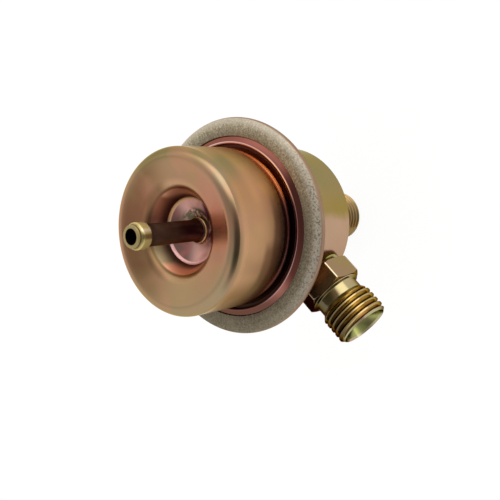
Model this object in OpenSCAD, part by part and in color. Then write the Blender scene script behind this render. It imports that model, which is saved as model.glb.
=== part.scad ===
// Fuel pressure regulator with a spring-loaded diaphragm and two threaded ports.
// Millimetres. +Z runs along the main axis toward the vacuum nipple, +X along the inlet port.
// The origin is on the outlet port's axis, on the shoulder of its hexagon.

/* [Body] */
// Outside diameter of the lower body
body_d = 39.7; // [38:0.1:42]
// Wall of the lower body
body_wall = 2.6; // [2.2:0.1:3]
// Floor of the lower body
body_floor = 2.5; // [2:0.1:3]
// Rear face to the diaphragm's seat
body_h = 23.3; // [22:0.1:25]
// Chamfer on the rear edge
body_chamfer = 1; // [0.6:0.1:1.6]

/* [Clamped flange] */
// Outside diameter of the crimp ring
ring_d = 54; // [53:0.2:57]
// Inside diameter of the crimp ring's front lip
lip_d = 44.8; // [44:0.2:46]
// Sheet of the crimp ring
ring_sheet = 0.6; // [0.5:0.1:1]
// Flange of the body
flange_t = 0.7; // [0.6:0.1:1.2]
// Fabric-reinforced rubber of the diaphragm
rubber_t = 0.6; // [0.5:0.1:0.9]

/* [Cap] */
// Outside diameter of the cap
cap_d = 39.2; // [38:0.1:40]
// Sheet of the cap
cap_sheet = 0.8; // [0.7:0.1:1]
// Flange to the front face
cap_h = 21.5; // [21:0.1:24]
// Rounding of the front rim
rim_r = 2.3; // [1.8:0.1:2.8]
// Diameter of the recess at its rounded edge
recess_d = 20.4; // [19.6:0.2:21]
// Depth of the recess
recess_depth = 7; // [6.4:0.2:7.6]
// Diameter of the recess floor
recess_floor_d = 14; // [13:0.2:14.6]

/* [Vacuum nipple] */
// Tube of the nipple
nipple_d = 5.1; // [4.8:0.1:5.4]
// Head that holds the hose
nipple_head_d = 6.1; // [5.8:0.1:6.6]
// Bore of the nipple
nipple_bore_d = 3.5; // [3:0.1:3.8]
// Front face to the tip
nipple_reach = 11.9; // [10:0.1:14]

/* [Ports] */
// Major diameter of the port threads
thread_d = 14; // [13.5:0.1:14.5]
// Hexagon across flats
hex_af = 14.1; // [13.8:0.1:14.6]
// Neck between hexagon and thread
neck_d = 12; // [11.4:0.1:12.4]
// Mouth of the tube cone
mouth_d = 12; // [11.6:0.1:12.2]
// Socket for the fuel tube
socket_d = 8.2; // [7.8:0.1:8.6]
// Fuel way through the fittings
way_d = 5; // [4.4:0.1:5.4]
// Inlet axis above the rear face
inlet_z = 6.7; // [6.4:0.1:7.5]
// Hexagon of the inlet along its axis
hex_t = 5.8; // [5:0.1:6.4]
// Neck of the inlet along its axis
neck_l = 2.8; // [2.2:0.1:3.4]
// Thread of the inlet, with its end bevel
inlet_thread_l = 8.6; // [7.5:0.1:10]
// Thread of the outlet, with its end bevel
outlet_thread_l = 21.2; // [19:0.2:24]

/* [Valve] */
// Wire of the main spring
wire_d = 2.6; // [2.2:0.1:2.8]
// Free turns of the main spring
turns = 4.5; // [4:0.5:5]
// Ball that lets the valve plate find its seat
ball_d = 4; // [3.6:0.1:4.2]
// Bore of the valve seat
seat_bore_d = 3; // [2.6:0.1:3.4]
// Stroke of the valve
lift = 0.8; // [0.5:0.1:1]

/* [Hidden] */
$fn = 96;
ball_clear = 0.05;
seat_gap = 0.15;
side_gap = 0.35;
spring_clear = 0.03;
rivet_clear = 0.1;
lap = 0.02;

// Main levels, from the outlet shoulder up
spigot_gap = 0.6;
outlet_hex_t = 5;
rear_z = outlet_hex_t + spigot_gap;
floor_z = rear_z + body_floor;
rubber_z = rear_z + body_h;
cap_z = rubber_z + rubber_t;
lip_z = cap_z + cap_sheet;
ring_front_z = lip_z + ring_sheet;
ring_rear_z = rubber_z - flange_t - ring_sheet;
face_z = cap_z + cap_h;
axis_z = rear_z + inlet_z;

// Main radii
body_r = body_d / 2;
bore_r = body_r - body_wall;
cap_r = cap_d / 2;
cap_bore_r = cap_r - cap_sheet;
ring_r = ring_d / 2;
lip_r = lip_d / 2;
ring_h = ring_front_z - ring_rear_z;
ring_edge = ring_h / 2;
flange_r = ring_r - ring_edge;
lip_bevel = min(0.9, (flange_r - lip_r) / 2);
ring_dome = min(2.4, (ring_r - lip_r) / 2);

// Recess in the cap
dish = 1.2;
recess_r = recess_d / 2;
recess_edge = 3;
recess_floor_r = recess_floor_d / 2;
recess_root = 1.2;
recess_z = face_z - recess_depth;
floor_dip = 2;
dip_r = nipple_d / 2 + 0.8;
root_z = recess_z + recess_root;
edge_r = recess_r + recess_edge - 0.4;
edge_z = face_z - dish - recess_edge;
rim_x = cap_r - rim_r;
rim_z = face_z - rim_r;

// Directions square to the recess floor, its wall and the front face
to_edge = [edge_r - recess_floor_r, edge_z - root_z];
to_rim = [rim_x - edge_r, rim_z - edge_z];
floor_a = atan2(floor_dip, recess_floor_r - dip_r) - 90;
wall_a = atan2(to_edge.y, to_edge.x) - acos((recess_root + recess_edge) / norm(to_edge));
face_a = atan2(to_rim.y, to_rim.x) + acos((recess_edge - rim_r) / norm(to_rim));

// Bead on the cap flange, in the bare band between the cap wall and the ring's lip
band_w = lip_r - cap_r;
bead_h = 0.8;
bead_r = cap_r + band_w * 0.32;
bead_edge = min(0.4, band_w / 7);
groove_side = band_w * 0.07;
groove_h = 0.3;

// Fittings
spigot_d = 9.8;
spigot_r = spigot_d / 2;
thread_r = thread_d / 2;
end_bevel = 0.9;
end_l = 0.8;
cone_l = 7;
socket_l = 3;
hex_turn = 9.7;
hex_x = body_r + 0.15;
inlet_foot = sqrt(bore_r * bore_r - spigot_r * spigot_r) - 0.2;
shoulder_x = hex_x + hex_t;
inlet_reach = shoulder_x + neck_l + inlet_thread_l;

// Valve train, from the seat up
tube_d = 8;
tube_wall = 1.5;
tube_r = tube_d / 2;
tube_foot = 2;
seat_t = 1.2;
seat_neck = 3;
ball_r = ball_d / 2;
web_t = 0.6;
lower_t = 0.9;
upper_t = 1;
ball_z = rubber_z - lower_t - web_t - ball_r - ball_clear;
plate_wall = 1;
plate_z = ball_z - ball_r - ball_clear - plate_wall;
seat_z = plate_z - seat_gap;
plate_foot_r = 3.5;
plate_flange_r = plate_foot_r + 0.9;
plate_top = ball_z - 1;
plate_step = plate_top - 0.6;
holder_bore_r = plate_flange_r + side_gap;
holder_wall = 1.5;
holder_r = holder_bore_r + holder_wall;
holder_roof = ball_z - 0.2;
keeper_t = 0.5;
keeper_top = plate_step - seat_gap;
keeper_z = keeper_top - keeper_t;
rivet_d = 5;
rivet_r = rivet_d / 2;
rivet_head_t = 1;
rivet_head_r = rivet_r + 1.6;
lower_r = 11.4;
fold_side = 0.9;
fold_r = (lower_r + bore_r) / 2;
fold_w = (bore_r - lower_r) / 2 - fold_side;
fold_slack = 0.9;
fold_h = lift + fold_slack;

// Main spring, on the cup and under the front face
cup_z = cap_z;
cup_wall = 0.8;
cup_side_gap = 1.65;
cup_wall_gap = 0.35;
cup_r = cap_bore_r - cup_side_gap;
cup_bore_r = cup_r - cup_wall;
coil_r = cup_bore_r - cup_wall_gap - wire_d / 2;
cup_h = 2.4;
coil_low = cup_z + upper_t + spring_clear + wire_d / 2;
coil_drop = recess_edge - cap_sheet - spring_clear - wire_d / 2;
coil_high = edge_z + (coil_drop - (coil_r - edge_r) * cos(face_a)) / sin(face_a);

// Points of an arc about (x, y)
function arc(x, y, r, from, to, n = 6) = [
    for (i = [0 : n]) let (a = from + (to - from) * i / n) [x + r * cos(a), y + r * sin(a)]
];

module lathe(points) {
    rotate_extrude() polygon(points);
}

// Places a child that stands along +Z so that it lies along +X on the inlet axis
module on_inlet() {
    translate([0, 0, axis_z]) rotate([0, 90, 0]) children();
}

// Hexagon with both ends chamfered, standing on z = 0
module hexagon(t, turn) {
    corner = hex_af / sqrt(3);
    bevel_r = corner * 0.9;
    bevel = (corner - bevel_r) * 0.62;
    intersection() {
        rotate(turn) cylinder(r = corner, h = t, $fn = 6);
        lathe([
            [0, 0], [bevel_r, 0], [corner, bevel], [corner, t - bevel], [bevel_r, t], [0, t]
        ]);
    }
}

// Outside of a fitting from its shoulder at z = 0 to its mouth
module thread_end(neck, reach) {
    lathe([
        [0, -lap], [neck_d / 2, -lap], [neck_d / 2, neck - 0.6], [thread_r, neck],
        [thread_r, reach - end_l], [thread_r - end_bevel, reach], [0, reach]
    ]);
}

// Tube cone, socket and fuel way, with the mouth at z = reach and the way open at z = foot
module fuel_way(foot, reach) {
    socket_r = socket_d / 2;
    lathe([
        [0, foot - 1], [way_d / 2, foot - 1], [way_d / 2, reach - cone_l - socket_l],
        [socket_r, reach - cone_l - socket_l], [socket_r, reach - cone_l],
        [mouth_d / 2, reach], [mouth_d / 2, reach + 1], [0, reach + 1]
    ]);
}

module body() {
    color([0.66, 0.58, 0.38])
    difference() {
        lathe(concat(
            [
                [0, rear_z], [body_r - body_chamfer, rear_z], [body_r, rear_z + body_chamfer],
                [body_r, rubber_z - flange_t],
                [flange_r, rubber_z - flange_t], [flange_r, rubber_z]
            ],
            arc(bore_r + 0.8, rubber_z - 0.8, 0.8, 90, 180),
            [[bore_r, floor_z], [0, floor_z]]
        ));
        translate([0, 0, rear_z - 1]) cylinder(r = spigot_r, h = body_floor + 2);
        on_inlet() translate([0, 0, inlet_foot]) cylinder(r = spigot_r, h = body_r);
    }
}

module crimp_ring() {
    lip_rear_r = body_r + 1.2;
    color([0.58, 0.54, 0.44])
    lathe(concat(
        [
            [lip_r, lip_z], [lip_r + lip_bevel * 0.1, lip_z + ring_sheet * 0.4],
            [lip_r + lip_bevel, ring_front_z - 0.08]
        ],
        [
            for (a = [90 : -9 : 0])
            [ring_r - ring_dome * (1 - cos(a)), ring_front_z - ring_edge * (1 - sin(a))]
        ],
        arc(flange_r, ring_rear_z + ring_edge, ring_edge, -15, -90, 5),
        [
            [lip_rear_r, ring_rear_z], [lip_rear_r, ring_rear_z + ring_sheet],
            [flange_r, ring_rear_z + ring_sheet], [flange_r, lip_z]
        ]
    ));
}

module upper_housing() {
    hole_r = nipple_d / 2;
    floor_top = recess_z - floor_dip;
    color([0.74, 0.62, 0.44])
    lathe(concat(
        [[hole_r, floor_top], [dip_r, floor_top]],
        arc(recess_floor_r, root_z, recess_root, floor_a, wall_a, 4),
        arc(edge_r, edge_z, recess_edge, 180 + wall_a, face_a),
        arc(rim_x, rim_z, rim_r, face_a, 0, 9),
        [
            [cap_r, lip_z], [cap_r + groove_side, lip_z - groove_h],
            [bead_r - groove_side, lip_z - groove_h], [bead_r, lip_z]
        ],
        arc(bead_r + bead_edge, lip_z + bead_h - bead_edge, bead_edge, 180, 62, 5),
        [
            [lip_r - groove_side, lip_z], [flange_r, lip_z], [flange_r, cap_z],
            [cap_bore_r + 0.6, cap_z], [cap_bore_r, cap_z + 0.6]
        ],
        arc(rim_x, rim_z, rim_r - cap_sheet, 0, face_a),
        arc(edge_r, edge_z, recess_edge - cap_sheet, face_a, 180 + wall_a),
        arc(recess_floor_r, root_z, recess_root + cap_sheet, wall_a, floor_a, 4),
        [[dip_r, floor_top - cap_sheet], [hole_r, floor_top - cap_sheet]]
    ));
}

module vacuum_nipple() {
    floor_top = recess_z - floor_dip;
    foot = floor_top - cap_sheet - 0.6;
    tip = face_z + nipple_reach;
    head_r = nipple_head_d / 2;
    tube = nipple_d / 2;
    collar = tube + 0.55;
    color([0.78, 0.72, 0.4])
    difference() {
        lathe([
            [0, foot], [tube, foot], [tube, floor_top], [collar, floor_top],
            [collar, floor_top + 0.5], [tube, floor_top + 0.9],
            [tube, tip - 3.5], [head_r, tip - 3.4], [head_r, tip - 0.45],
            [head_r - 0.45, tip], [0, tip]
        ]);
        translate([0, 0, foot - 1]) cylinder(d = nipple_bore_d, h = tip - foot + 2);
    }
}

module inlet_fitting() {
    color([0.7, 0.6, 0.36])
    on_inlet() difference() {
        union() {
            translate([0, 0, inlet_foot]) cylinder(r = spigot_r, h = hex_x - inlet_foot + lap);
            translate([0, 0, hex_x]) hexagon(hex_t, hex_turn);
            translate([0, 0, shoulder_x]) thread_end(neck_l, neck_l + inlet_thread_l);
        }
        fuel_way(inlet_foot, inlet_reach);
    }
}

module outlet_fitting() {
    color([0.68, 0.56, 0.34])
    rotate([180, 0, 0]) difference() {
        union() {
            translate([0, 0, -floor_z]) cylinder(r = spigot_r, h = floor_z - outlet_hex_t + lap);
            translate([0, 0, -outlet_hex_t]) hexagon(outlet_hex_t, 0);
            lathe([
                [0, -lap], [thread_r, -lap], [thread_r, outlet_thread_l - end_l],
                [thread_r - end_bevel, outlet_thread_l], [0, outlet_thread_l]
            ]);
        }
        fuel_way(-floor_z, outlet_thread_l);
        translate([0, 0, -floor_z - 1]) cylinder(r = tube_r, h = tube_foot + 1);
    }
}

module main_spring() {
    n = 24;
    sides = 10;
    end_turns = 1;
    steps = round((turns + 2 * end_turns) * n);
    rise = coil_high - coil_low;
    flat = end_turns * n;
    function height(i) =
        let (t = (i - flat * 0.75) / (steps - flat * 1.5))
        rise * min(1, max(0, t));
    function ring_point(i, k) =
        let (a = 360 * i / n, b = 360 * k / sides, r = coil_r + wire_d / 2 * cos(b))
        [r * cos(a), r * sin(a), coil_low + height(i) + wire_d / 2 * sin(b)];
    points = [for (i = [0 : steps], k = [0 : sides - 1]) ring_point(i, k)];
    color([0.5, 0.5, 0.52])
    polyhedron(points, concat(
        [[for (k = [0 : sides - 1]) k]],
        [
            for (i = [0 : steps - 1], k = [0 : sides - 1])
            let (a = i * sides + k, b = i * sides + (k + 1) % sides)
            [a, a + sides, b + sides, b]
        ],
        [[for (k = [sides - 1 : -1 : 0]) steps * sides + k]]
    ), convexity = 10);
}

module spring_cup() {
    color([0.6, 0.6, 0.58])
    lathe([
        [rivet_r, cup_z], [cup_r - 0.8, cup_z], [cup_r, cup_z + 0.8], [cup_r, cup_z + cup_h],
        [cup_bore_r, cup_z + cup_h], [cup_bore_r, cup_z + upper_t], [rivet_r, cup_z + upper_t]
    ]);
}

module diaphragm() {
    hole_r = rivet_r + rivet_clear;
    in = fold_r - fold_w;
    out = fold_r + fold_w;
    function fold(z, n = 14) = [
        for (i = [0 : n]) [in + (out - in) * i / n, z - fold_h * (1 - cos(360 * i / n)) / 2]
    ];
    function back(z, n = 14) = [for (i = [n : -1 : 0]) fold(z, n)[i]];
    color([0.12, 0.12, 0.12])
    lathe(concat(
        [[hole_r, rubber_z]], fold(rubber_z), [[flange_r, rubber_z], [flange_r, cap_z]],
        back(cap_z), [[hole_r, cap_z]]
    ));
}

module lower_plate() {
    z = rubber_z - lower_t;
    color([0.62, 0.62, 0.6])
    lathe([
        [rivet_r, z], [lower_r - 0.6, z], [lower_r, z + 0.6], [lower_r, rubber_z], [rivet_r, rubber_z]
    ]);
}

module valve_holder() {
    base = rubber_z - lower_t;
    head_z = cup_z + upper_t;
    color([0.66, 0.64, 0.6])
    difference() {
        lathe([
            [0, keeper_z], [holder_r - 0.4, keeper_z], [holder_r, keeper_z + 0.4], [holder_r, base],
            [rivet_r, base], [rivet_r, head_z], [rivet_head_r, head_z],
            [rivet_head_r - 0.4, head_z + rivet_head_t], [0, head_z + rivet_head_t]
        ]);
        translate([0, 0, keeper_z - 1]) cylinder(r = holder_bore_r, h = holder_roof - keeper_z + 1);
        translate([0, 0, ball_z]) sphere(r = ball_r + ball_clear);
    }
}

module valve_ball() {
    color([0.75, 0.75, 0.77])
    translate([0, 0, ball_z]) sphere(r = ball_r);
}

module valve_plate() {
    color([0.7, 0.7, 0.72])
    difference() {
        lathe([
            [0, plate_z], [plate_foot_r - 0.3, plate_z], [plate_foot_r, plate_z + 0.3],
            [plate_foot_r, plate_step], [plate_flange_r, plate_step], [plate_flange_r, plate_top],
            [0, plate_top]
        ]);
        translate([0, 0, ball_z]) sphere(r = ball_r + ball_clear);
    }
}

module plate_keeper() {
    color([0.55, 0.55, 0.56])
    lathe([
        [plate_foot_r + side_gap, keeper_z], [holder_bore_r, keeper_z],
        [holder_bore_r, keeper_top], [plate_foot_r + side_gap, keeper_top]
    ]);
}

module valve_seat() {
    neck = tube_r - tube_wall;
    color([0.72, 0.7, 0.66])
    lathe([
        [seat_bore_d / 2, seat_z - seat_t - seat_neck], [neck, seat_z - seat_t - seat_neck],
        [neck, seat_z - seat_t], [tube_r, seat_z - seat_t], [tube_r, seat_z - 0.5],
        [seat_bore_d / 2 + 0.9, seat_z], [seat_bore_d / 2, seat_z]
    ]);
}

module return_tube() {
    color([0.68, 0.62, 0.48])
    lathe([
        [tube_r - tube_wall, floor_z - tube_foot], [tube_r, floor_z - tube_foot],
        [tube_r, seat_z - seat_t], [tube_r - tube_wall, seat_z - seat_t]
    ]);
}

body();
crimp_ring();
upper_housing();
vacuum_nipple();
inlet_fitting();
outlet_fitting();
main_spring();
spring_cup();
diaphragm();
lower_plate();
valve_holder();
valve_ball();
valve_plate();
plate_keeper();
valve_seat();
return_tube();
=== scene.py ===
"""Looks of a fuel pressure regulator in yellow zinc plated steel."""
import math

import bmesh
import bpy
from mathutils import Matrix, Vector


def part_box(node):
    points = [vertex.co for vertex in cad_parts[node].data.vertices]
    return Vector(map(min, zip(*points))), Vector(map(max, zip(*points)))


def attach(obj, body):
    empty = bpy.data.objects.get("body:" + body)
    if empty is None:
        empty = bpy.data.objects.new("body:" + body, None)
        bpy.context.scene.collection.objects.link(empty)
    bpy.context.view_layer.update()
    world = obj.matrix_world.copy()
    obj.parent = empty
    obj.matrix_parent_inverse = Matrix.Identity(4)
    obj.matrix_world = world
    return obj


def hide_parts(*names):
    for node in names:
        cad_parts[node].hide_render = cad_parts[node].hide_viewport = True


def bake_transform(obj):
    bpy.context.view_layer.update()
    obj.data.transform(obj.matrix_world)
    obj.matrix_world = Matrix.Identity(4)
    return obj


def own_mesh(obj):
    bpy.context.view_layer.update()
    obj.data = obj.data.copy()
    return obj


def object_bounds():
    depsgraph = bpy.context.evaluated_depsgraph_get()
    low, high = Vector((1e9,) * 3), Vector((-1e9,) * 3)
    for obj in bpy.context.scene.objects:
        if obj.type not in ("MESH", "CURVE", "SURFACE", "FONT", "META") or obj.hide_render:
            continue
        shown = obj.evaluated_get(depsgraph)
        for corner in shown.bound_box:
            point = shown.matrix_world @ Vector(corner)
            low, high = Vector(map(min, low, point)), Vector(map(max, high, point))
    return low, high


MM = 0.001
ROUND = 288

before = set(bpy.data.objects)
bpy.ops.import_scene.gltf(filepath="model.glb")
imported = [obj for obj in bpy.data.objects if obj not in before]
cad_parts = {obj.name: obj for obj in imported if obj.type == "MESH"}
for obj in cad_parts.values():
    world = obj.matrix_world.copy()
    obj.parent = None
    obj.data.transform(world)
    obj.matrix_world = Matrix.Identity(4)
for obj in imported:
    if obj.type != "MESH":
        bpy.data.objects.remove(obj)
cad_low, cad_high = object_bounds()


def top(node):
    """Highest level of a CAD node, in millimetres."""
    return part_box(node)[1][2] / MM


def bottom(node):
    """Lowest level of a CAD node, in millimetres."""
    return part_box(node)[0][2] / MM


def reach(node):
    """Largest X of a CAD node, in millimetres."""
    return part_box(node)[1][0] / MM


# Levels and radii, in millimetres, from the frame
REAR = bottom("body")
RUBBER = top("body")
RING_FRONT = top("crimp_ring")
RING_REAR = bottom("crimp_ring")
FACE = top("upper_housing")
CAP_SEAT = bottom("upper_housing")
TIP = top("vacuum_nipple")
OUTLET_END = bottom("outlet_fitting")
RING_R = reach("crimp_ring")
FLANGE_R = reach("body")
INLET_END = reach("inlet_fitting")
INLET_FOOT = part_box("inlet_fitting")[0][0] / MM

# Sizes that the boxes don't show, in millimetres
BODY_R = 19.85
BODY_WALL = 2.6
FLOOR_T = 2.5
FLANGE_T = 0.7
BODY_CHAMFER = 1.0
CAP_R = 19.6
CAP_SHEET = 0.8
RING_SHEET = 0.6
LIP_R = 22.4
RIM_R = 2.3
DISH = 1.2
RECESS_DEPTH = 7.0
RECESS_R = 10.2
RECESS_EDGE = 3.0
RECESS_FLOOR_R = 7.0
RECESS_ROOT = 1.2
FLOOR_DIP = 2.0
NIPPLE_R = 2.55
NIPPLE_BORE = 1.75
HEAD_R = 3.05
NOSE_R = 2.6
NOSE_GROOVE_R = 2.5
INLET_Z = REAR + 6.7
THREAD_R = 7.0
ROOT_R = 6.12
PITCH = 1.5
HEX_AF = 14.1
HEX_R = HEX_AF / math.sqrt(3)
NECK_R = 6.0
SPIGOT_R = 4.9
MOUTH_R = 6.0
MOUTH_DEPTH = 7.0
SOCKET_R = 4.1
SOCKET_DEPTH = 3.0
END_BEVEL = 0.9
RUN_OUT = 1.2
OUTLET_HEX = 5.0
WAY_R = 2.5
FOLD_R = 14.325
FOLD_W = 2.025
RIVET_R = 2.6
INLET_HEX = BODY_R + 0.15
INLET_HEX_END = INLET_HEX + 5.8
INLET_NECK = 3.4
LIP_Z = RING_FRONT - RING_SHEET
BEAD_R = CAP_R + 0.9
RECESS_Z = FACE - RECESS_DEPTH
FLOOR_TOP = RECESS_Z - FLOOR_DIP
DIP_R = NIPPLE_R + 0.8
HEAD_Z = TIP - 3.5


# Mesh making

def rounded(points, steps=7):
    """Outline through (r, z) or (r, z, fillet) points, with each fillet as an arc."""
    out = []
    count = len(points)
    for i, p in enumerate(points):
        here = Vector(p[:2])
        fillet = p[2] if len(p) > 2 else 0
        if not fillet or i in (0, count - 1):
            out.append(here)
            continue
        back = Vector(points[i - 1][:2]) - here
        ahead = Vector(points[i + 1][:2]) - here
        half = back.angle(ahead) / 2
        if half > 1.56:
            out.append(here)
            continue
        along = min(fillet / math.tan(half), back.length * 0.49, ahead.length * 0.49)
        size = along * math.tan(half)
        start = here + back.normalized() * along
        end = here + ahead.normalized() * along
        centre = here + (back.normalized() + ahead.normalized()).normalized() * size / math.sin(half)
        a, b = start - centre, end - centre
        turn = a.angle_signed(b)
        for k in range(steps + 1):
            out.append(centre + Matrix.Rotation(-turn * k / steps, 2) @ a)
    return out


def arc(x, z, r, start, end, steps=16):
    """Points of an arc about (x, z), with angles in radians."""
    return [
        (x + r * math.cos(a), z + r * math.sin(a))
        for a in (start + (end - start) * i / steps for i in range(steps + 1))
    ]


def bend(start, control, end, steps=16):
    """Points of a quadratic curve between two points."""
    out = []
    for i in range(steps + 1):
        t = i / steps
        out.append(start * (1 - t) ** 2 + control * 2 * t * (1 - t) + end * t * t)
    return out


def meet(a, slope_a, b, slope_b):
    """Where the line through a and the line through b cross, each by its slope in radians."""
    along_a = Vector((math.cos(slope_a), math.sin(slope_a)))
    along_b = Vector((math.cos(slope_b), math.sin(slope_b)))
    return a + along_a * ((b - a).cross(along_b) / along_a.cross(along_b))


def add_lathe(bm, outline, closed=True, segments=ROUND):
    """Turns an outline of (r, z) in millimetres about Z, leaving out points that repeat."""
    outline = [Vector(p) for p in outline]
    outline = outline[:1] + [b for a, b in zip(outline, outline[1:]) if (b - a).length > 1e-5]
    rows = []
    for i in range(segments):
        a = math.tau * i / segments
        rows.append([
            bm.verts.new((p[0] * MM * math.cos(a), p[0] * MM * math.sin(a), p[1] * MM))
            for p in outline
        ])
    n = len(outline)
    for i in range(segments):
        here, there = rows[i], rows[(i + 1) % segments]
        for j in range(n if closed else n - 1):
            k = (j + 1) % n
            bm.faces.new((here[j], there[j], there[k], here[k]))


def add_hexagon(bm, low, high, af, hole, turn, per_side=24):
    """Hexagon along Z between two levels, its corners eased and both ends chamfered to a cone."""
    corner = af / math.sqrt(3)
    bevel_r = corner * 0.9
    slope = 0.62
    ease = 0.8
    angles = [-30.0, ease - 30] + [60 * i / per_side - 30 for i in range(1, per_side)] + [30 - ease]
    rows = []
    for face in range(6):
        for local in angles:
            inner = max(ease - 30, local)
            r = af / 2 / math.cos(math.radians(inner)) * math.cos(math.radians(local - inner))
            a = math.radians(turn + 30 + 60 * face + local)
            bevel = max(0.0, (r - bevel_r) * slope)
            outline = [
                (hole, low), (min(r, bevel_r), low), (r, low + bevel),
                (r, high - bevel), (min(r, bevel_r), high), (hole, high)
            ]
            rows.append([
                bm.verts.new((q * MM * math.cos(a), q * MM * math.sin(a), z * MM)) for q, z in outline
            ])
    for i, here in enumerate(rows):
        there = rows[(i + 1) % len(rows)]
        for j in range(5):
            bm.faces.new((here[j], there[j], there[j + 1], here[j + 1]))


def add_thread(bm, start, end, envelope, lead, segments=192, steps=18):
    """Right-hand thread along Z whose crests follow the helix; envelope gives its outer radius."""
    step = PITCH / steps
    turns = int((end - start) / PITCH) + 4
    rows = []
    for i in range(segments):
        a = math.tau * i / segments
        row = []
        for j in range(turns * steps + 1):
            z = start - PITCH + lead + j * step + PITCH * i / segments
            z = min(max(z, start), end)
            phase = (j % steps) / steps
            rise = min(1.0, 1.4 * (1 - 2 * abs(phase - 0.5)) ** 1.2)
            r = min(envelope(z), ROOT_R + (THREAD_R - ROOT_R) * rise)
            row.append(bm.verts.new((r * MM * math.cos(a), r * MM * math.sin(a), z * MM)))
        rows.append(row)
    last = len(rows[0]) - 1
    for i in range(segments):
        shift = steps if i == segments - 1 else 0
        here, there = rows[i], rows[(i + 1) % segments]
        for j in range(last - shift):
            bm.faces.new((here[j], there[j + shift], there[j + shift + 1], here[j + 1]))
    bmesh.ops.remove_doubles(bm, verts=bm.verts, dist=1e-8)
    bmesh.ops.dissolve_degenerate(bm, edges=bm.edges, dist=1e-9)


def cut(bm, tool):
    """The first mesh less the second."""
    pair = []
    for source in (bm, tool):
        bmesh.ops.recalc_face_normals(source, faces=source.faces)
        mesh = bpy.data.meshes.new("cut")
        source.to_mesh(mesh)
        source.free()
        pair.append(bpy.data.objects.new("cut", mesh))
        bpy.context.scene.collection.objects.link(pair[-1])
    taker = pair[0].modifiers.new("cut", "BOOLEAN")
    taker.operation = "DIFFERENCE"
    taker.object = pair[1]
    out = bmesh.new()
    out.from_object(pair[0], bpy.context.evaluated_depsgraph_get())
    for obj in pair:
        bpy.data.objects.remove(obj)
    return out


def finish_mesh(name, bm, material, place=None, sharp=32):
    """Object from a bmesh, smooth but for its sharp edges, ready to ride."""
    bmesh.ops.recalc_face_normals(bm, faces=bm.faces)
    mesh = bpy.data.meshes.new(name)
    bm.to_mesh(mesh)
    bm.free()
    if place:
        mesh.transform(place)
    for face in mesh.polygons:
        face.use_smooth = True
    mesh.set_sharp_from_angle(angle=math.radians(sharp))
    obj = bpy.data.objects.new(name, mesh)
    bpy.context.scene.collection.objects.link(obj)
    mesh.materials.append(material)
    weight = obj.modifiers.new("weighted_normals", "WEIGHTED_NORMAL")
    weight.keep_sharp = True
    return obj


def stand_for(obj, node):
    """The piece takes the place of one CAD node of the housing."""
    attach(obj, "housing")
    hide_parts(node)


# Materials

class Nodes:
    """Short ways to add and join shader nodes."""

    def __init__(self, owner):
        owner.use_nodes = True
        self.owner = owner
        self.tree = owner.node_tree
        self.shader = self.tree.nodes.get("Principled BSDF")
        self.coords = self.add("ShaderNodeTexCoord")
        self.place = self.coords.outputs["Object"]

    def add(self, kind, **settings):
        node = self.tree.nodes.new(kind)
        for key, value in settings.items():
            setattr(node, key, value)
        return node

    def join(self, source, socket):
        if isinstance(source, bpy.types.NodeSocket):
            self.tree.links.new(source, socket)
        else:
            socket.default_value = source
        return socket

    def math(self, kind, a, b=0.0, c=0.0):
        node = self.add("ShaderNodeMath", operation=kind)
        for socket, value in zip(node.inputs, (a, b, c)):
            self.join(value, socket)
        return node.outputs[0]

    def times(self, first, *others):
        for other in others:
            first = self.math("MULTIPLY", first, other)
        return first

    def dot(self, vector, direction):
        node = self.add("ShaderNodeVectorMath", operation="DOT_PRODUCT")
        self.join(vector, node.inputs[0])
        node.inputs[1].default_value = direction
        return node.outputs["Value"]

    def noise(self, scale, detail=3.0, rough=0.5, where=None, warp=0.0):
        node = self.add("ShaderNodeTexNoise")
        self.join(where or self.place, node.inputs["Vector"])
        node.inputs["Scale"].default_value = scale
        node.inputs["Detail"].default_value = detail
        node.inputs["Roughness"].default_value = rough
        node.inputs["Distortion"].default_value = warp
        return node.outputs["Fac"]

    def ramp(self, factor, stops):
        node = self.add("ShaderNodeValToRGB")
        band = node.color_ramp
        band.interpolation = "EASE"
        while len(band.elements) < len(stops):
            band.elements.new(0.5)
        for element, (position, colour) in zip(band.elements, stops):
            element.position = position
            element.color = (*colour, 1.0)
        self.join(factor, node.inputs["Fac"])
        return node.outputs["Color"]

    def blend(self, factor, a, b):
        node = self.add("ShaderNodeMix", data_type="RGBA")
        self.join(factor, node.inputs["Factor"])
        for value, socket in ((a, node.inputs["A"]), (b, node.inputs["B"])):
            self.join((*value, 1.0) if isinstance(value, tuple) else value, socket)
        return node.outputs["Result"]

    def span(self, value, low, high, to_low=0.0, to_high=1.0):
        node = self.add("ShaderNodeMapRange", interpolation_type="SMOOTHSTEP")
        self.join(value, node.inputs["Value"])
        keys = ("From Min", "From Max", "To Min", "To Max")
        for key, number in zip(keys, (low, high, to_low, to_high)):
            node.inputs[key].default_value = number
        return node.outputs["Result"]

    def axes(self):
        node = self.add("ShaderNodeSeparateXYZ")
        self.join(self.place, node.inputs["Vector"])
        return node.outputs

    def radius(self):
        """Distance from the main axis, in millimetres."""
        x, y, _ = self.axes()
        square = self.math("ADD", self.times(x, x), self.times(y, y))
        return self.times(self.math("SQRT", square), 1 / MM)

    def level(self):
        """Height along the main axis, in millimetres."""
        return self.times(self.axes()[2], 1 / MM)

    def bump(self, height, strength, distance):
        node = self.add("ShaderNodeBump")
        node.inputs["Strength"].default_value = strength
        node.inputs["Distance"].default_value = distance
        self.join(height, node.inputs["Height"])
        self.join(node.outputs["Normal"], self.shader.inputs["Normal"])

    def finish(self, colour, roughness, metallic=1.0, tint=None):
        if tint:
            self.shader.inputs["Specular Tint"].default_value = (*tint, 1.0)
        self.join(colour, self.shader.inputs["Base Color"])
        self.join(roughness, self.shader.inputs["Roughness"])
        self.join(metallic, self.shader.inputs["Metallic"])
        return self.owner


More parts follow.
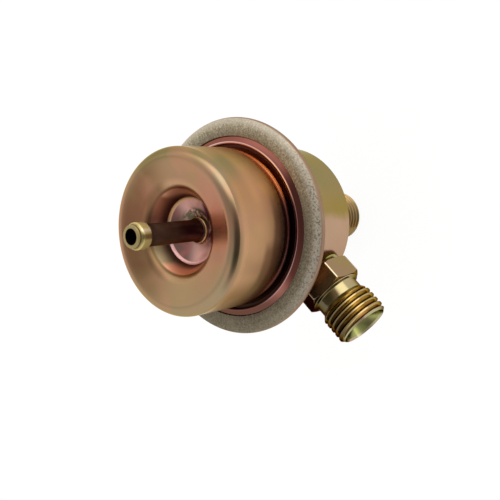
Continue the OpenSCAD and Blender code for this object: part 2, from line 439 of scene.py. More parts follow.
# Directions across the main axis: the side that the plating makes olive, and the inlet's side
OLIVE_SIDE = (-0.709, 0.705, 0.0)
WARM_SIDE = (0.757, 0.654, 0.0)


def side(n, direction, size):
    """From -1 to 1 across the part along a direction."""
    return n.times(n.dot(n.place, direction), 1 / (size * MM))


def drift(n, colour, tone, scale=70.0, amount=0.35):
    """Slow change of tint over the plating."""
    wave = n.noise(scale, 2.0, 0.45, warp=0.5)
    return n.blend(n.span(wave, 0.42, 0.7, 0.0, amount), colour, tone)


def fine_bump(n):
    """Slight unevenness of a plated surface."""
    n.bump(n.noise(1500.0, 2.0), 0.05, 0.00004)


def grain(n, roughness):
    """Slight unevenness of gloss and surface; gives the roughness."""
    fine_bump(n)
    return n.span(n.noise(700.0, 3.0), 0.25, 0.75, roughness * 0.88, roughness * 1.12)


def wall_tints(n, z, up, right):
    """Side of the cap, olive on its upper side and darker on its lower side as painted shade, with a warm
    band of painted light across its olive half.
    """
    # painted shade: the side darkens towards its lower edge
    wall = n.ramp(n.span(up, -1.0, 1.0), [
        (0.0, (0.22, 0.12, 0.07)), (0.14, (0.50, 0.29, 0.16)), (0.45, (0.54, 0.31, 0.16)),
        (0.8, (0.48, 0.25, 0.12)), (1.0, (0.24, 0.21, 0.12))
    ])
    # painted light: a warm, brighter band across the olive half of the side
    band = n.times(
        n.span(z, FACE - 6.0, FACE - 9.5, 0.0, 0.5), n.span(up, 0.1, 0.5), n.span(right, -0.4, 0.1)
    )
    return n.blend(band, wall, (0.90, 0.48, 0.20))


def face_tints(n, up, right):
    """Face of the cap, browner away from the inlet and with a painted reddish reflection of the nipple
    beside the recess.
    """
    face = n.ramp(n.span(up, -1.0, 1.0), [
        (0.0, (0.37, 0.24, 0.14)), (0.4, (0.41, 0.19, 0.13)),
        (0.7, (0.44, 0.18, 0.14)), (1.0, (0.38, 0.24, 0.14))
    ])
    face = n.blend(n.span(right, -0.05, -0.5, 0.0, 0.55), face, (0.125, 0.045, 0.005))
    # painted reflection: the nipple's reddish mirror image in the face beside the recess
    nipple_reflection = n.times(n.span(up, -0.25, -0.05), n.span(up, 0.36, 0.05), n.span(right, 0.4, 0.55))
    return n.blend(nipple_reflection, face, (0.70, 0.185, 0.12))


def rim_tints(n, r, up, right):
    """Rim of the cap, copper away from the inlet, and with a painted dark reflection along its outer edge
    towards the inlet.
    """
    rim = n.blend(n.span(up, 0.55, 0.9), (0.35, 0.262, 0.16), (0.22, 0.18, 0.08))
    rim = n.blend(n.span(right, -0.5, -0.9), rim, (0.50, 0.27, 0.185))
    # painted reflection: a dark band along the outer edge of the rim towards the inlet
    outside = n.times(n.span(right, 0.7, 1.0, 0.0, 0.6), n.span(r, CAP_R - 1.7, CAP_R - 0.7))
    return n.blend(outside, rim, (0.02, 0.02, 0.0))


def foot_shade_and_stains(n, colour, z, up, right):
    """Foot of the cap: brown and dark painted shade with an uneven edge on its lower side, a dark smear
    stain, and an orange painted reflection of the bead on its olive half.
    """
    uneven = n.math("MULTIPLY_ADD", n.noise(120.0, 3.0), 2.4, n.math("SUBTRACT", z, LIP_Z + 1.2))
    low_side = n.span(up, 0.5, 0.1)
    # painted shade: brown at the foot of the cap on its lower side
    brown = n.times(n.span(uneven, 8.4, 6.6), low_side, 0.7)
    colour = n.blend(brown, colour, (0.15, 0.062, 0.045))
    smear = n.times(
        n.span(up, -0.12, -0.3), n.span(up, -0.8, -0.55), n.span(right, 0.3, 0.5),
        n.span(uneven, 11.4, 9.6), 0.6
    )
    colour = n.blend(smear, colour, (0.15, 0.062, 0.03))
    # painted shade: darker still close to the foot on its lower side
    dark = n.times(n.span(uneven, 6.0, 3.2), low_side, 0.8)
    colour = n.blend(dark, colour, (0.19, 0.115, 0.125))
    # painted reflection: the orange bead mirrored in the foot of the cap on its olive half
    orange = n.times(
        n.span(uneven, 5.6, 4.2), n.span(up, 0.2, 0.6), n.span(right, -0.4, 0.1, 0.2, 0.8)
    )
    return n.blend(orange, colour, (0.72, 0.32, 0.13))


def flange_tints(n, r, up, right):
    """Painted shade in the groove, a painted highlight along the crest of the bead, and the maroon band
    beside it, darker on its lower side as painted shade and on its inlet side as a painted dark
    reflection.
    """
    # maroon band: painted shade on its lower side, painted dark reflection on its inlet side
    band = n.blend(n.span(up, -0.7, -1.0), (0.38, 0.15, 0.12), (0.14, 0.06, 0.045))
    band = n.blend(n.span(up, -0.2, 0.5), band, (0.25, 0.088, 0.067))
    band = n.blend(n.span(right, 0.78, 1.0), band, (0.10, 0.032, 0.025))
    # painted highlight: the crest of the bead bright and pinkish, dark on its lower side as painted shade
    crest = n.ramp(n.math("MULTIPLY_ADD", up, 0.5, 0.5), [
        (0.0, (0.18, 0.08, 0.065)), (0.11, (0.64, 0.42, 0.43)), (0.25, (0.95, 0.66, 0.68)),
        (0.46, (1.0, 0.44, 0.48)), (0.85, (0.95, 0.92, 1.0)), (1.0, (0.77, 0.50, 0.52))
    ])
    flange = n.blend(n.span(r, BEAD_R + 0.45, BEAD_R + 0.6), crest, band)
    # painted shade in the groove at the foot of the cap
    groove = n.blend(n.span(up, 0.2, 0.5), (0.05, 0.024, 0.018), (0.10, 0.03, 0.022))
    return n.blend(n.span(r, BEAD_R + 0.02, BEAD_R + 0.1), groove, flange)


def recess_tints(n, colour, r, up, right):
    """Colours of the recess and round it, from the edge in to the braze on its floor: heat colours
    together with painted shade and painted highlights.
    """
    # painted shade on the rounded edge of the recess away from the inlet
    edge_shade = n.times(
        n.span(r, RECESS_R + 2.6, RECESS_R + 0.8), n.span(right, -0.1, -0.3, 0.0, 0.46),
        n.span(right, -0.56, -0.42, 0.3, 1.0)
    )
    colour = n.blend(edge_shade, colour, (0.02, 0.02, 0.0))
    # painted highlight: a lighter olive band on the upper edge of the recess
    edge_highlight = n.times(
        n.span(r, RECESS_R + 2.8, RECESS_R + 0.8, 0.0, 0.8), n.span(up, 0.3, 0.5),
        n.span(right, -0.3, -0.05)
    )
    colour = n.blend(edge_highlight, colour, (0.52, 0.32, 0.195))
    # painted reflection: a thin dark line along the edge of the recess
    line = n.blend(n.span(up, -0.3, 0.3), (0.12, 0.085, 0.035), (0.17, 0.08, 0.05))
    colour = n.blend(n.span(r, RECESS_R + 0.4, RECESS_R + 0.1, 0.0, 0.7), colour, line)
    # heat colours round the recess wall, made lighter and darker by side as painted light and shade
    uneven = n.math("MULTIPLY_ADD", n.noise(260.0, 2.0), 0.12, -0.06)
    wall = n.ramp(n.math("ADD", uneven, n.math("ADD", up, 0.5)), [
        (0.06, (0.76, 0.35, 0.215)), (0.15, (0.28, 0.21, 0.12)), (0.30, (0.24, 0.18, 0.10)),
        (0.5, (0.85, 0.46, 0.36)), (0.66, (0.36, 0.14, 0.09)), (0.88, (0.29, 0.11, 0.06)),
        (0.97, (0.70, 0.345, 0.22))
    ])
    # painted shade at the foot of the recess wall, next to the floor
    foot = n.span(r, RECESS_FLOOR_R + 2.2, RECESS_FLOOR_R + 1.1, 0.0, 0.8)
    wall = n.blend(foot, wall, (0.07, 0.022, 0.02))
    colour = n.blend(n.span(r, RECESS_R - 0.05, RECESS_R - 0.35), colour, wall)
    # painted light: the floor lighter on its lower side; the shade below is a painted shadow of the nipple
    # away from the inlet
    floor = n.blend(n.span(up, -0.1, 0.15), (0.95, 0.58, 0.52), (0.76, 0.45, 0.40))
    shade = n.span(n.math("MULTIPLY_ADD", up, 0.35, right), 0.02, -0.25, 0.0, 0.88)
    floor = n.blend(shade, floor, (0.10, 0.05, 0.045))
    floor = drift(n, floor, (0.42, 0.14, 0.13), 240.0, 0.6)
    # painted highlight: a bright line round the edge of the floor
    ring = n.blend(n.span(up, -0.1, 0.2), (0.85, 0.5, 0.48), (0.60, 0.36, 0.19))
    floor = n.blend(n.span(r, RECESS_FLOOR_R + 0.3, RECESS_FLOOR_R + 0.45), floor, ring)
    colour = n.blend(n.span(r, RECESS_FLOOR_R + 1.05, RECESS_FLOOR_R + 0.95), colour, floor)
    crust = n.span(n.noise(520.0, 4.0, 0.6, warp=1.0), 0.44, 0.54)
    flux = n.times(n.span(r, 5.8, 4.8), crust, n.span(up, 0.02, 0.1))
    colour = n.blend(flux, colour, (0.16, 0.15, 0.09))
    burn = n.times(
        n.span(up, -0.22, -0.08), n.span(right, 0.12, 0.2),
        n.span(n.noise(300.0, 3.0, 0.6), 0.62, 0.52),
        n.span(r, RECESS_FLOOR_R + 1.3, RECESS_FLOOR_R + 1.0)
    )
    return n.blend(burn, colour, (0.15, 0.035, 0.08))


def cap_look():
    n = Nodes(bpy.data.materials.new("cap_plating_look"))
    r, z = n.radius(), n.level()
    up, right = side(n, OLIVE_SIDE, CAP_R), side(n, WARM_SIDE, CAP_R)
    to_rim = n.span(r, CAP_R - 4.0, CAP_R - 1.0)
    colour = n.blend(to_rim, face_tints(n, up, right), rim_tints(n, r, up, right))
    colour = n.blend(n.span(z, FACE - 0.6, FACE - 3.2), colour, wall_tints(n, z, up, right))
    colour = drift(n, colour, (0.34, 0.27, 0.11))
    colour = drift(n, colour, (0.50, 0.25, 0.16), 95.0, 0.5)
    colour = recess_tints(n, colour, r, up, right)
    colour = foot_shade_and_stains(n, colour, z, up, right)
    to_flange = n.span(r, CAP_R + 0.02, CAP_R + 0.1)
    colour = n.blend(to_flange, colour, flange_tints(n, r, up, right))
    satin = n.times(n.span(z, FACE - 1.5, FACE - 5.0), n.span(z, LIP_Z + 3.5, LIP_Z + 6.5))
    rough = n.math("MULTIPLY_ADD", satin, 0.2, n.span(r, CAP_R - 3.5, CAP_R - 1.5, 0.27, 0.15))
    groove = n.times(n.span(r, CAP_R, CAP_R + 0.1), n.span(r, BEAD_R + 0.1, BEAD_R, 0.0, 0.35))
    fine_bump(n)
    return n.finish(colour, n.math("ADD", rough, groove), tint=(0.85, 0.72, 0.5))


def body_look():
    n = Nodes(bpy.data.materials.new("body_plating_look"))
    broad = n.math("MULTIPLY_ADD", n.noise(55.0, 2.0), 0.3, -0.15)
    small = n.math("MULTIPLY_ADD", n.noise(150.0, 3.0), 0.24, -0.12)
    up = n.math("ADD", side(n, OLIVE_SIDE, BODY_R), n.math("ADD", broad, small))
    colour = n.ramp(n.span(up, -1.0, 1.0), [
        (0.0, (0.44, 0.28, 0.21)), (0.48, (0.49, 0.32, 0.22)),
        (0.62, (0.30, 0.225, 0.055)), (1.0, (0.23, 0.23, 0.125))
    ])
    colour = drift(n, colour, (0.40, 0.25, 0.15))
    return n.finish(colour, grain(n, 0.2), tint=(0.75, 0.66, 0.42))


def ring_look():
    n = Nodes(bpy.data.materials.new("ring_plating_look"))
    r = n.radius()
    up, right = side(n, OLIVE_SIDE, RING_R), side(n, WARM_SIDE, RING_R)
    x, y, _ = n.axes()
    around = n.add("ShaderNodeCombineXYZ")
    n.join(n.math("DIVIDE", x, r), around.inputs[0])
    n.join(n.math("DIVIDE", y, r), around.inputs[1])
    n.join(n.times(r, MM * 0.006), around.inputs[2])
    spoke = n.add("ShaderNodeVectorMath", operation="SCALE")
    n.join(around.outputs[0], spoke.inputs[0])
    spoke.inputs["Scale"].default_value = RING_R
    streak = n.noise(2600.0, 2.0, 0.6, where=spoke.outputs[0])
    speck = n.math("MULTIPLY_ADD", n.noise(2600.0, 2.0, 0.6), 0.7, n.times(streak, 0.3))
    matt = n.ramp(speck, [
        (0.36, (0.29, 0.25, 0.17)), (0.5, (0.46, 0.41, 0.29)), (0.64, (0.70, 0.63, 0.48))
    ])
    # painted shade: the ring darker on its lower side, less so towards the inlet
    low = n.times(n.span(up, 0.6, -1.0, 0.0, 0.62), n.span(right, 1.1, 0.3, 0.55, 1.0))
    colour = n.blend(low, matt, (0.10, 0.075, 0.055))
    # painted shade beside the cap on the upper side, near the lip
    inner = n.times(n.span(r, LIP_R + 2.6, LIP_R + 0.8, 0.0, 0.3), n.span(up, 0.4, 0.9))
    colour = n.blend(inner, colour, (0.10, 0.075, 0.065))
    # painted shade: the ring a little darker towards the inlet, the side that also carries the pits
    warm = n.span(right, 0.55, 0.95)
    colour = n.blend(n.times(warm, 0.25), colour, (0.08, 0.055, 0.035))
    outer = n.span(r, RING_R - 2.6, RING_R - 1.0)
    # painted highlight on the outer rounding, all but on the lower side
    pale = n.times(outer, n.span(up, -0.95, -0.4, 0.0, 0.45))
    colour = n.blend(pale, colour, (0.72, 0.65, 0.57))
    pits = n.times(n.span(n.noise(2100.0, 2.0), 0.48, 0.38), outer, warm, 0.6)
    colour = n.blend(pits, colour, (0.09, 0.07, 0.05))
    edge = n.span(r, RING_R - 0.35, RING_R - 0.1)
    colour = n.blend(edge, colour, (0.34, 0.21, 0.14))
    colour = drift(n, colour, (0.40, 0.36, 0.25))
    n.bump(speck, 0.6, 0.00006)
    return n.finish(colour, n.math("MULTIPLY_ADD", edge, -0.25, 0.65), 0.8, (0.6, 0.5, 0.4))


def nipple_look():
    n = Nodes(bpy.data.materials.new("nipple_plating_look"))
    r, z = n.radius(), n.level()
    up = side(n, OLIVE_SIDE, HEAD_R)
    head = drift(n, (0.70, 0.56, 0.23), (0.60, 0.52, 0.20), 200.0, 0.6)
    # painted reflection: a dark streak along the side of the head
    head_dark_reflection = n.times(n.span(up, -0.35, -0.1, 0.0, 0.8), n.span(up, 0.25, 0.05))
    head = n.blend(head_dark_reflection, head, (0.12, 0.07, 0.02))
    # painted highlight: a bright streak along the side of the head
    head_highlight = n.times(n.span(up, 0.22, 0.38, 0.0, 0.8), n.span(up, 0.62, 0.46))
    head = n.blend(head_highlight, head, (0.95, 0.85, 0.60))
    nose = drift(n, (0.38, 0.29, 0.13), (0.28, 0.22, 0.09), 200.0, 0.6)
    head = n.blend(n.span(z, TIP - 1.1, TIP - 0.7), head, nose)
    # painted shade in the groove of the nose
    groove = n.times(n.span(z, TIP - 0.72, TIP - 0.6, 0.0, 0.8), n.span(z, TIP - 0.4, TIP - 0.48))
    head = n.blend(groove, head, (0.10, 0.06, 0.02))
    tube = drift(n, (0.19, 0.125, 0.10), (0.15, 0.11, 0.08), 200.0, 0.6)
    # painted shadow on the tube just behind the head
    tube = n.blend(n.span(z, TIP - 6.2, TIP - 4.2, 0.0, 0.6), tube, (0.05, 0.035, 0.02))
    # painted shade where the tube goes down into the recess
    tube = n.blend(n.span(z, FACE + 1.0, FACE - 3.0, 0.0, 0.85), tube, (0.09, 0.036, 0.036))
    head_low, head_high = HEAD_Z - 0.2, HEAD_Z + 0.05
    colour = n.blend(n.span(z, head_low, head_high), tube, head)
    foot = n.times(
        n.span(r, NIPPLE_R + 0.36, NIPPLE_R + 0.44),
        n.span(z, FLOOR_TOP + 0.25, FLOOR_TOP + 0.3), n.span(z, FLOOR_TOP + 4.0, FLOOR_TOP + 3.0)
    )
    colour = n.blend(foot, colour, (0.85, 0.62, 0.26))
    # painted shade: the bore dark inside
    bore = n.span(r, NIPPLE_BORE + 0.14, NIPPLE_BORE + 0.04)
    colour = n.blend(bore, colour, (0.008, 0.006, 0.005))
    rough = n.times(grain(n, 0.3), n.span(z, head_low, head_high, 1.3, 0.7))
    return n.finish(colour, rough, n.span(z, head_low, head_high, 1.0, 0.55), (0.5, 0.4, 0.2))


def port_look(name, find_axis, hex_end, neck_end, mouth, thread_tone, dim):
    """Plating of a fitting, with painted shade and painted highlights; find_axis gives millimetres along
    it, from its axis, up and to the front.
    """
    n = Nodes(bpy.data.materials.new(name))
    along, r, lit, front = find_axis(n)
    hexagon = drift(n, (0.345, 0.23, 0.133), (0.34, 0.255, 0.095), 90.0, 0.5)
    neck = drift(n, (0.46, 0.36, 0.20), (0.38, 0.36, 0.16), 150.0, 0.5)
    thread = drift(n, thread_tone, (0.42, 0.24, 0.12), 170.0, 0.6)
    # painted shade in the roots of the thread
    thread = n.blend(n.span(r, ROOT_R + 0.3, ROOT_R + 0.05, 0.0, 0.6), thread, (0.10, 0.05, 0.02))
    # painted highlight along the crests of the thread
    crest = n.span(r, THREAD_R - 0.16, THREAD_R - 0.03, 0.0, 0.7)
    thread = n.blend(crest, thread, (0.44, 0.34, 0.17))
    colour = n.blend(n.span(along, hex_end - 0.15, hex_end + 0.1), hexagon, neck)
    colour = n.blend(n.span(along, neck_end - 0.1, neck_end + 0.3), colour, thread)
    shade = n.times(n.span(lit, 3.0, -1.5, 0.0, dim), n.span(front, -4.0, -0.5))
    colour = n.blend(shade, colour, (0.042, 0.036, 0.026))
    # painted highlight along the upper corner of the hexagon
    corner = n.times(
        n.span(r, HEX_R - 0.2, HEX_R - 0.08, 0.0, 0.9), n.span(front, 0.5, 2.0), n.span(lit, -3.0, 0.0)
    )
    colour = n.blend(corner, colour, (0.95, 0.80, 0.52))
    lip = drift(n, (0.46, 0.42, 0.24), (0.52, 0.34, 0.26), 260.0, 0.7)
    inside = drift(n, (0.34, 0.36, 0.12), (0.09, 0.07, 0.04), 180.0, 0.8)
    bore = n.blend(n.span(along, mouth - 0.5, mouth - 0.15), inside, lip)
    within = n.times(n.span(r, MOUTH_R + 0.1, MOUTH_R), n.span(along, neck_end + 0.2, neck_end + 0.5))
    colour = n.blend(within, colour, bore)
    end = n.times(n.span(along, mouth - 0.7, mouth - 0.4), n.span(r, THREAD_R, THREAD_R - 0.2))
    colour = n.blend(end, colour, lip)
    return n.finish(colour, grain(n, 0.16), tint=(0.2, 0.15, 0.12))


def inlet_axis(n):
    x, y, z = n.axes()
    up = n.math("SUBTRACT", z, INLET_Z * MM)
    square = n.math("ADD", n.times(y, y), n.times(up, up))
    front = n.math("ADD", n.times(y, 0.5), n.times(up, 0.87))
    return [n.times(length, 1 / MM) for length in (x, n.math("SQRT", square), y, front)]


def outlet_axis(n):
    along = n.times(n.level(), -1.0)
    return along, n.radius(), side(n, OLIVE_SIDE, 1.0), side(n, WARM_SIDE, 1.0)


cap_metal = cap_look()
body_metal = body_look()
ring_metal = ring_look()
inlet_metal = port_look(
    "inlet_plating_look", inlet_axis, INLET_HEX_END, INLET_HEX_END + INLET_NECK, INLET_END,
    (0.58, 0.43, 0.16), 0.75
)
outlet_metal = port_look(
    "outlet_plating_look", outlet_axis, 0.0, 0.0, -OUTLET_END, (0.46, 0.30, 0.13), 0.3
)
nipple_metal = nipple_look()


# Cap

root = Vector((RECESS_FLOOR_R, RECESS_Z + RECESS_ROOT))
edge = Vector((RECESS_R + RECESS_EDGE - 0.4, FACE - DISH - RECESS_EDGE))
rim = Vector((CAP_R - RIM_R, FACE - RIM_R))
floor_a = math.atan2(FLOOR_DIP, RECESS_FLOOR_R - DIP_R) - math.pi / 2
to_rim = rim - edge
face_a = math.atan2(to_rim.y, to_rim.x) + math.acos((RECESS_EDGE - RIM_R) / to_rim.length)
steep, shallow = math.radians(70), math.radians(50)


def recess_wall(thick):
    """Points of the recess from its floor up to the face, for the outside or a sheet below it."""
    low = arc(*root, RECESS_ROOT + thick, floor_a, steep - math.pi / 2)
    high = arc(*edge, RECESS_EDGE - thick, math.pi / 2 + shallow, face_a)
    a, b = Vector(low[-1]), Vector(high[0])
    return low + [tuple(p) for p in bend(a, meet(a, steep, b, shallow), b)] + high


bm = bmesh.new()
outline = [(NIPPLE_R, FLOOR_TOP), (DIP_R, FLOOR_TOP)]
outline += recess_wall(0)
outline += arc(*rim, RIM_R, face_a, 0)
outline += [
    (CAP_R, LIP_Z - 0.3, 0.2), (BEAD_R, LIP_Z - 0.3, 0.2),
    *arc(BEAD_R + 0.4, LIP_Z + 0.4, 0.4, math.pi, 1.25),
    (LIP_R - 0.75, LIP_Z + 0.45, 1.5), (LIP_R + 0.1, LIP_Z, 0.1), (FLANGE_R, LIP_Z, 0.1),
    (FLANGE_R, CAP_SEAT, 0.1), (CAP_R - CAP_SHEET, CAP_SEAT, 0.6)
]
outline += arc(*rim, RIM_R - CAP_SHEET, 0, face_a, 6)
outline += reversed(recess_wall(CAP_SHEET))
outline += [(DIP_R, FLOOR_TOP - CAP_SHEET), (NIPPLE_R, FLOOR_TOP - CAP_SHEET)]
add_lathe(bm, rounded(outline))
stand_for(finish_mesh("cap", bm, cap_metal), "upper_housing")

# Crimp ring

bm = bmesh.new()
half = (RING_FRONT - RING_REAR) / 2
dome = (RING_R - LIP_R) / 2
outline = [
    (LIP_R, LIP_Z, 0.05), (LIP_R, LIP_Z + 0.3, 0.12), (LIP_R + 0.9, RING_FRONT - 0.08, 1.2)
]
outline += [
    (RING_R - dome * (1 - x), RING_FRONT - half * (1 - z)) for x, z in arc(0, 0, 1, math.pi / 2, 0, 24)
]
outline += arc(RING_R - half, RING_REAR + half, half, -0.1, -math.pi / 2)
outline += [
    (BODY_R + 1.2, RING_REAR, 0.3), (BODY_R + 1.2, RING_REAR + RING_SHEET, 0.1),
    (FLANGE_R, RING_REAR + RING_SHEET), (FLANGE_R, LIP_Z)
]
add_lathe(bm, rounded(outline))
stand_for(finish_mesh("rolled_ring", bm, ring_metal), "crimp_ring")

# Body, with a hole through its wall for the inlet's spigot

bm = bmesh.new()
bore = BODY_R - BODY_WALL
add_lathe(bm, rounded([
    (SPIGOT_R, REAR), (BODY_R - BODY_CHAMFER, REAR, 0.25), (BODY_R, REAR + BODY_CHAMFER, 0.3),
    (BODY_R, RUBBER - FLANGE_T, 0.2), (FLANGE_R, RUBBER - FLANGE_T, 0.1), (FLANGE_R, RUBBER, 0.1),
    (bore, RUBBER, 0.8), (bore, REAR + FLOOR_T, 0.5), (SPIGOT_R, REAR + FLOOR_T)
]))
to_inlet = Matrix.Translation((0, 0, INLET_Z * MM)) @ Matrix.Rotation(math.radians(90), 4, "Y")
hole = bmesh.new()
start, stop = bore - 2, BODY_R + 2
outline = [(0, start), (SPIGOT_R, start), (SPIGOT_R, stop), (0, stop)]
add_lathe(hole, outline, closed=False, segments=128)
bmesh.ops.remove_doubles(hole, verts=hole.verts, dist=1e-8)
hole.transform(to_inlet)
stand_for(finish_mesh("lower_body", cut(bm, hole), body_metal), "body")

# Vacuum nipple

bm = bmesh.new()
foot = bottom("vacuum_nipple")
outline = rounded([
    (NIPPLE_BORE, foot, 0.1), (NIPPLE_R, foot, 0.1), (NIPPLE_R, FLOOR_TOP), (NIPPLE_R + 0.55, FLOOR_TOP),
    (NIPPLE_R + 0.55, FLOOR_TOP + 0.5, 0.2), (NIPPLE_R, FLOOR_TOP + 0.9, 0.3),
    (NIPPLE_R, HEAD_Z, 0.1), (HEAD_R, HEAD_Z + 0.1, 0.2), (HEAD_R, TIP - 1.15, 0.4),
    (NOSE_R + 0.02, TIP - 0.62, 0.05), (NOSE_GROOVE_R, TIP - 0.58, 0.03), (NOSE_GROOVE_R, TIP - 0.5, 0.03),
    (NOSE_R, TIP - 0.44, 0.05), (NOSE_R, TIP, 0.2), (NIPPLE_BORE, TIP, 0.15)
], 4)
add_lathe(bm, outline, segments=128)
stand_for(finish_mesh("nipple", bm, nipple_metal), "vacuum_nipple")


# Port fittings, built along +Z from the hexagon and then put in place

def port(name, node, material, foot, hex_low, hex_high, neck, end, turn, lead, place):
    """Fitting between its foot and its end, with its hexagon turned and its thread shifted by lead."""
    bm = bmesh.new()
    add_hexagon(bm, hex_low, hex_high, HEX_AF, SPIGOT_R - 0.2, turn)
    thread_low = hex_high + neck
    rim = THREAD_R - END_BEVEL
    cone_low = end - MOUTH_DEPTH
    socket_low = cone_low - SOCKET_DEPTH

    def envelope(z):
        """Outer radius at a level, with the run-out and the end bevel."""
        run_out = NECK_R + max(0.0, z - thread_low + 0.3) * 0.75
        bevel = rim + max(0.0, end - z) * 1.1
        return max(NECK_R, min(THREAD_R, run_out, bevel))

    add_thread(bm, max(hex_high, thread_low - RUN_OUT), end, envelope, lead)
    outline = rounded([
        (rim, end), (MOUTH_R, end), (SOCKET_R, cone_low, 0.1), (SOCKET_R, socket_low, 0.1),
        (WAY_R, socket_low, 0.2), (WAY_R, foot, 0.1), (SPIGOT_R, foot, 0.1), (SPIGOT_R, hex_low + 0.1)
    ])
    add_lathe(bm, outline, closed=False, segments=192)
    if neck > 0:
        outline = rounded([
            (SPIGOT_R, hex_high), (NECK_R + 0.9, hex_high, 0.1), (NECK_R + 0.9, hex_high + 0.25, 0.15),
            (NECK_R, hex_high + 0.5, 0.2), (NECK_R, thread_low - RUN_OUT)
        ])
        add_lathe(bm, outline, closed=False, segments=192)
    stand_for(finish_mesh(name, bm, material, place), node)


port(
    "inlet_port", "inlet_fitting", inlet_metal, INLET_FOOT, INLET_HEX, INLET_HEX_END, INLET_NECK,
    INLET_END, 9.7, 0.37, to_inlet
)
to_outlet = Matrix.Rotation(math.radians(180), 4, "X")
port(
    "outlet_port", "outlet_fitting", outlet_metal, -top("outlet_fitting"), -OUTLET_HEX, 0.0, 0.0,
    -OUTLET_END, 0.0, 0.0, to_outlet
)

# Braze round the inlet's spigot, from the wall of the body to the hexagon

braze = Nodes(bpy.data.materials.new("braze_look"))
braze_tone = drift(braze, (0.34, 0.33, 0.09), (0.16, 0.06, 0.04), 260.0, 0.9)
braze_metal = braze.finish(braze_tone, grain(braze, 0.2))
bm = bmesh.new()
outline = rounded([
    (SPIGOT_R - 0.1, BODY_R - 2.2), (SPIGOT_R + 2.0, BODY_R - 2.2), (SPIGOT_R + 1.9, BODY_R - 1.3, 0.3),
    (SPIGOT_R + 0.9, INLET_HEX - 0.3, 0.6), (SPIGOT_R + 0.8, INLET_HEX + 0.05),
    (SPIGOT_R - 0.1, INLET_HEX + 0.05)
])
add_lathe(bm, outline, segments=96)
fillet = finish_mesh("inlet_braze", bm, braze_metal, to_inlet)
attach(fillet, "housing")

# Inner pieces, which keep their CAD meshes apart from the diaphragm

steel = Nodes(bpy.data.materials.new("plain_steel_look"))
cloud = steel.noise(300.0, 3.0)
steel_tone = steel.ramp(cloud, [(0.3, (0.42, 0.42, 0.41)), (0.7, (0.55, 0.55, 0.53))])
steel_metal = steel.finish(steel_tone, 0.35)
rubber = Nodes(bpy.data.materials.new("rubber_look"))
weave = rubber.noise(1200.0, 2.0)
rubber_tone = rubber.ramp(weave, [(0.3, (0.015, 0.015, 0.015)), (0.7, (0.03, 0.03, 0.03))])
rubber_black = rubber.finish(rubber_tone, 0.6, 0.0)
for node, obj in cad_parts.items():
    obj.data.materials.clear()
    obj.data.materials.append(rubber_black if node == "diaphragm" else steel_metal)

# Diaphragm: a clamped rim, and a middle as a piece of its own, meeting at the foot of the fold

fold_low = bottom("diaphragm")


def fold(level, start, end, steps=14):
    """Points across the fold between two shares of its width."""
    out = []
    for i in range(steps + 1):
        t = start + (end - start) * i / steps
        drop = (RUBBER - fold_low) * (1 - math.cos(math.tau * t)) / 2
        out.append((FOLD_R + FOLD_W * (2 * t - 1), level - drop))
    return out


bm = bmesh.new()
outline = fold(RUBBER, 0.5, 1) + [(FLANGE_R, RUBBER), (FLANGE_R, CAP_SEAT)] + fold(CAP_SEAT, 1, 0.5)
add_lathe(bm, outline, segments=144)
stand_for(finish_mesh("diaphragm_rim", bm, rubber_black), "diaphragm")
bm = bmesh.new()
outline = [(RIVET_R, RUBBER)] + fold(RUBBER, 0, 0.5) + fold(CAP_SEAT, 0.5, 0) + [(RIVET_R, CAP_SEAT)]
add_lathe(bm, outline, segments=144)
middle = finish_mesh("diaphragm_middle", bm, rubber_black)
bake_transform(middle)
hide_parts("diaphragm")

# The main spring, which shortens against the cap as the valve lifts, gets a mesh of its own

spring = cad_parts["main_spring"]
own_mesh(spring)

# Floor

FLOOR_Z = cad_low[2] - 0.0002
bm = bmesh.new()
bmesh.ops.create_grid(bm, x_segments=1, y_segments=1, size=1.5)
paper = Nodes(bpy.data.materials.new("floor_look"))
fibre = paper.noise(40.0, 2.0)
paper_tone = paper.ramp(fibre, [(0.0, (0.9, 0.9, 0.9)), (1.0, (0.94, 0.94, 0.94))])
floor_paper = paper.finish(paper_tone, 0.8, 0.0)
path = paper.add("ShaderNodeLightPath")
glow = paper.add("ShaderNodeEmission")
glow.inputs["Color"].default_value = (1, 1, 1, 1)
glow.inputs["Strength"].default_value = 1.06
mix = paper.add("ShaderNodeMixShader")
seen_ray = paper.math("MAXIMUM", path.outputs["Is Camera Ray"], path.outputs["Is Glossy Ray"])
paper.join(paper.times(seen_ray, 0.86), mix.inputs["Fac"])
paper.join(paper.shader.outputs["BSDF"], mix.inputs[1])
paper.join(glow.outputs["Emission"], mix.inputs[2])
paper.join(mix.outputs["Shader"], paper.tree.nodes["Material Output"].inputs["Surface"])
floor = finish_mesh("floor", bm, floor_paper, Matrix.Translation((0, 0, FLOOR_Z)))

# Camera

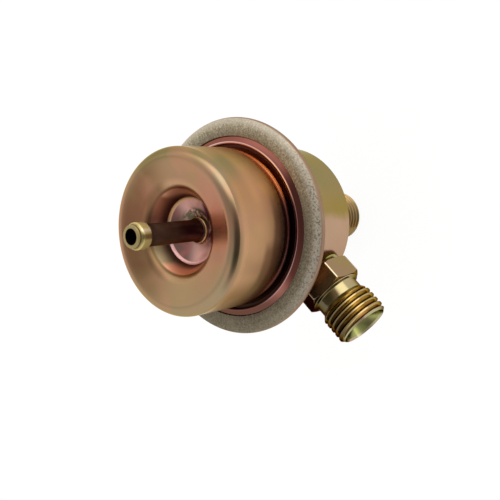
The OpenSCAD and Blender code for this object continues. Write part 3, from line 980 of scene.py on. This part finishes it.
CAMERA_AT = Vector((76.45, 85.85, 161.85)) * MM
CAMERA_RIGHT = Vector((0.5854, 0.5057, -0.6338))
CAMERA_UP = Vector((-0.7061, 0.7021, -0.0919))
CAMERA_BACK = CAMERA_RIGHT.cross(CAMERA_UP)
turn = Matrix((CAMERA_RIGHT, CAMERA_UP, CAMERA_BACK)).transposed()
camera = bpy.data.objects.new("camera", bpy.data.cameras.new("camera"))
camera.matrix_world = Matrix.Translation(CAMERA_AT) @ turn.to_4x4()
camera.data.sensor_width = 36
camera.data.lens = 50.4
camera.data.clip_start = 0.001
bpy.context.scene.collection.objects.link(camera)
bpy.context.scene.camera = camera


# Light: a pale tent with a bright panel above and a dark opening for the camera

def seen(right, up):
    """Direction by its angles to the right of and above the line to the camera, in degrees."""
    a, b = math.radians(right), math.radians(up)
    flat = CAMERA_RIGHT * math.sin(a) + CAMERA_BACK * math.cos(a)
    return (flat * math.cos(b) + CAMERA_UP * math.sin(b)).normalized()


def patch(n, view, centre, wide, tall, edge=2.5):
    """Soft oval of the tent, 1 in its middle; its half widths are in degrees."""
    across = CAMERA_UP.cross(centre).normalized()
    along = centre.cross(across)
    x = n.times(n.dot(view, across), 1 / math.sin(math.radians(wide)))
    y = n.times(n.dot(view, along), 1 / math.sin(math.radians(tall)))
    square = n.math("ADD", n.times(x, x), n.times(y, y))
    oval = n.math("POWER", 0.5, n.math("POWER", square, edge))
    return n.times(oval, n.span(n.dot(view, centre), 0.0, 0.2))


world = bpy.data.worlds.new("studio")
bpy.context.scene.world = world
tent = Nodes(world)
view = tent.coords.outputs["Generated"]
total = tent.math("MULTIPLY_ADD", patch(tent, view, seen(-2, 51), 64, 22), 1.3, 1.0)
for centre, wide, tall, depth in (((22, -17), 37, 38, 0.8), ((-46, 10), 38, 34, 0.48)):
    shade = tent.math("MULTIPLY_ADD", patch(tent, view, seen(*centre), wide, tall), -depth, 1.0)
    total = tent.times(total, shade)
background = tent.tree.nodes["Background"]
background.inputs["Color"].default_value = (1, 0.98, 0.95, 1)
tent.join(total, background.inputs["Strength"])
light_path = tent.add("ShaderNodeLightPath")
white = tent.add("ShaderNodeBackground")
white.inputs["Color"].default_value = (1, 1, 1, 1)
either = tent.add("ShaderNodeMixShader")
tent.join(light_path.outputs["Is Camera Ray"], either.inputs["Fac"])
tent.join(background.outputs["Background"], either.inputs[1])
tent.join(white.outputs["Background"], either.inputs[2])
tent.join(either.outputs["Shader"], tent.tree.nodes["World Output"].inputs["Surface"])

bpy.context.scene.view_settings.view_transform = "Standard"
